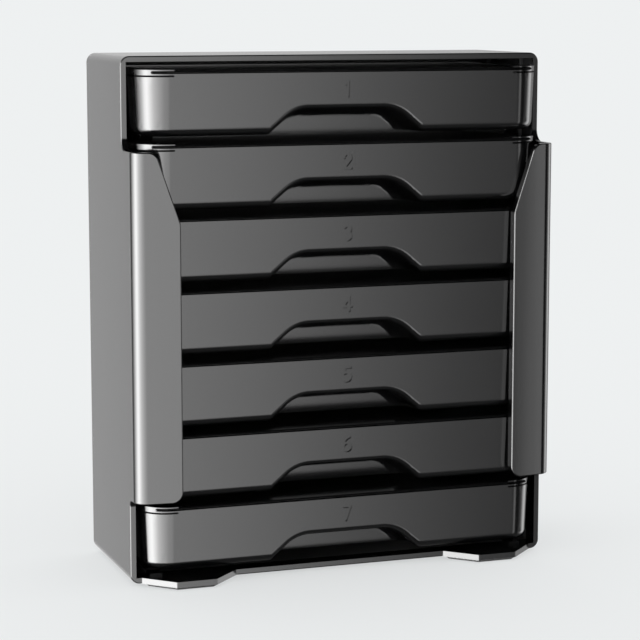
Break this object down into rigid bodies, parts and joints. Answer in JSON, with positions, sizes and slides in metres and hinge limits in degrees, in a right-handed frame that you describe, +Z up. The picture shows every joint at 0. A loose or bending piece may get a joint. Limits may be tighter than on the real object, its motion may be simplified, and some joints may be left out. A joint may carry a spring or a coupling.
{
  "type": "weekly pill drawer organizer",
  "caption": "Upright open-fronted magazine case holding a stack of day trays with sliding lids and finger recesses, kept in by two side wings.",
  "frame": {"origin": "bottom centre of the whole object, on the plane that the foot pads rest on", "axes": "+Z up, +X to the viewer's right, the open front faces -Y"},
  "size_m": [0.14, 0.0584, 0.165],
  "materials": {
    "case": "satin dark",
    "tray": "gloss dark",
    "lid": "gloss dark",
    "foot_pad": "matt dark"
  },
  "bodies": {
    "case": {"case_shell": "case", "back_panel": "case", "foot_pad_front_left": "foot_pad", "foot_pad_front_right": "foot_pad", "foot_pad_rear_left": "foot_pad", "foot_pad_rear_right": "foot_pad"},
    "tray_1": {"tray_1": "tray"},
    "lid_1": {"lid_1": "lid"},
    "tray_2": {"tray_2": "tray"},
    "lid_2": {"lid_2": "lid"},
    "tray_3": {"tray_3": "tray"},
    "lid_3": {"lid_3": "lid"},
    "tray_4": {"tray_4": "tray"},
    "lid_4": {"lid_4": "lid"},
    "tray_5": {"tray_5": "tray"},
    "lid_5": {"lid_5": "lid"},
    "tray_6": {"tray_6": "tray"},
    "lid_6": {"lid_6": "lid"},
    "tray_7": {"tray_7": "tray"},
    "lid_7": {"lid_7": "lid"}
  },
  "joints": [
    {"name": "tray_6_lift", "type": "slide", "parent": "case", "child": "tray_6", "axis": [0, 0, 1], "range_m": [0, 0.002]},
    {"name": "tray_5_lift", "type": "slide", "parent": "case", "child": "tray_5", "axis": [0, 0, 1], "range_m": [0, 0.002]},
    {"name": "tray_4_lift", "type": "slide", "parent": "case", "child": "tray_4", "axis": [0, 0, 1], "range_m": [0, 0.002]},
    {"name": "tray_3_lift", "type": "slide", "parent": "case", "child": "tray_3", "axis": [0, 0, 1], "range_m": [0, 0.002]},
    {"name": "tray_2_lift", "type": "slide", "parent": "case", "child": "tray_2", "axis": [0, 0, 1], "range_m": [0, 0.002]},
    {"name": "tray_1_slide", "type": "slide", "parent": "tray_2", "child": "tray_1", "axis": [0, -1, 0], "range_m": [0, 0.055]},
    {"name": "tray_7_slide", "type": "slide", "parent": "case", "child": "tray_7", "axis": [0, -1, 0], "range_m": [0, 0.055]},
    {"name": "lid_1_slide", "type": "slide", "parent": "tray_1", "child": "lid_1", "axis": [0, -1, 0], "range_m": [0, 0.052]},
    {"name": "lid_2_slide", "type": "slide", "parent": "tray_2", "child": "lid_2", "axis": [0, -1, 0], "range_m": [0, 0.0015]},
    {"name": "lid_3_slide", "type": "slide", "parent": "tray_3", "child": "lid_3", "axis": [0, -1, 0], "range_m": [0, 0.0015]},
    {"name": "lid_4_slide", "type": "slide", "parent": "tray_4", "child": "lid_4", "axis": [0, -1, 0], "range_m": [0, 0.0015]},
    {"name": "lid_5_slide", "type": "slide", "parent": "tray_5", "child": "lid_5", "axis": [0, -1, 0], "range_m": [0, 0.0015]},
    {"name": "lid_6_slide", "type": "slide", "parent": "tray_6", "child": "lid_6", "axis": [0, -1, 0], "range_m": [0, 0.0015]},
    {"name": "lid_7_slide", "type": "slide", "parent": "tray_7", "child": "lid_7", "axis": [0, -1, 0], "range_m": [0, 0.052]}
  ],
  "couplings": [
    {"joint": "tray_5_lift", "follows": "tray_6_lift", "ratio": 1},
    {"joint": "tray_4_lift", "follows": "tray_6_lift", "ratio": 1},
    {"joint": "tray_3_lift", "follows": "tray_6_lift", "ratio": 1},
    {"joint": "tray_2_lift", "follows": "tray_6_lift", "ratio": 1}
  ]
}
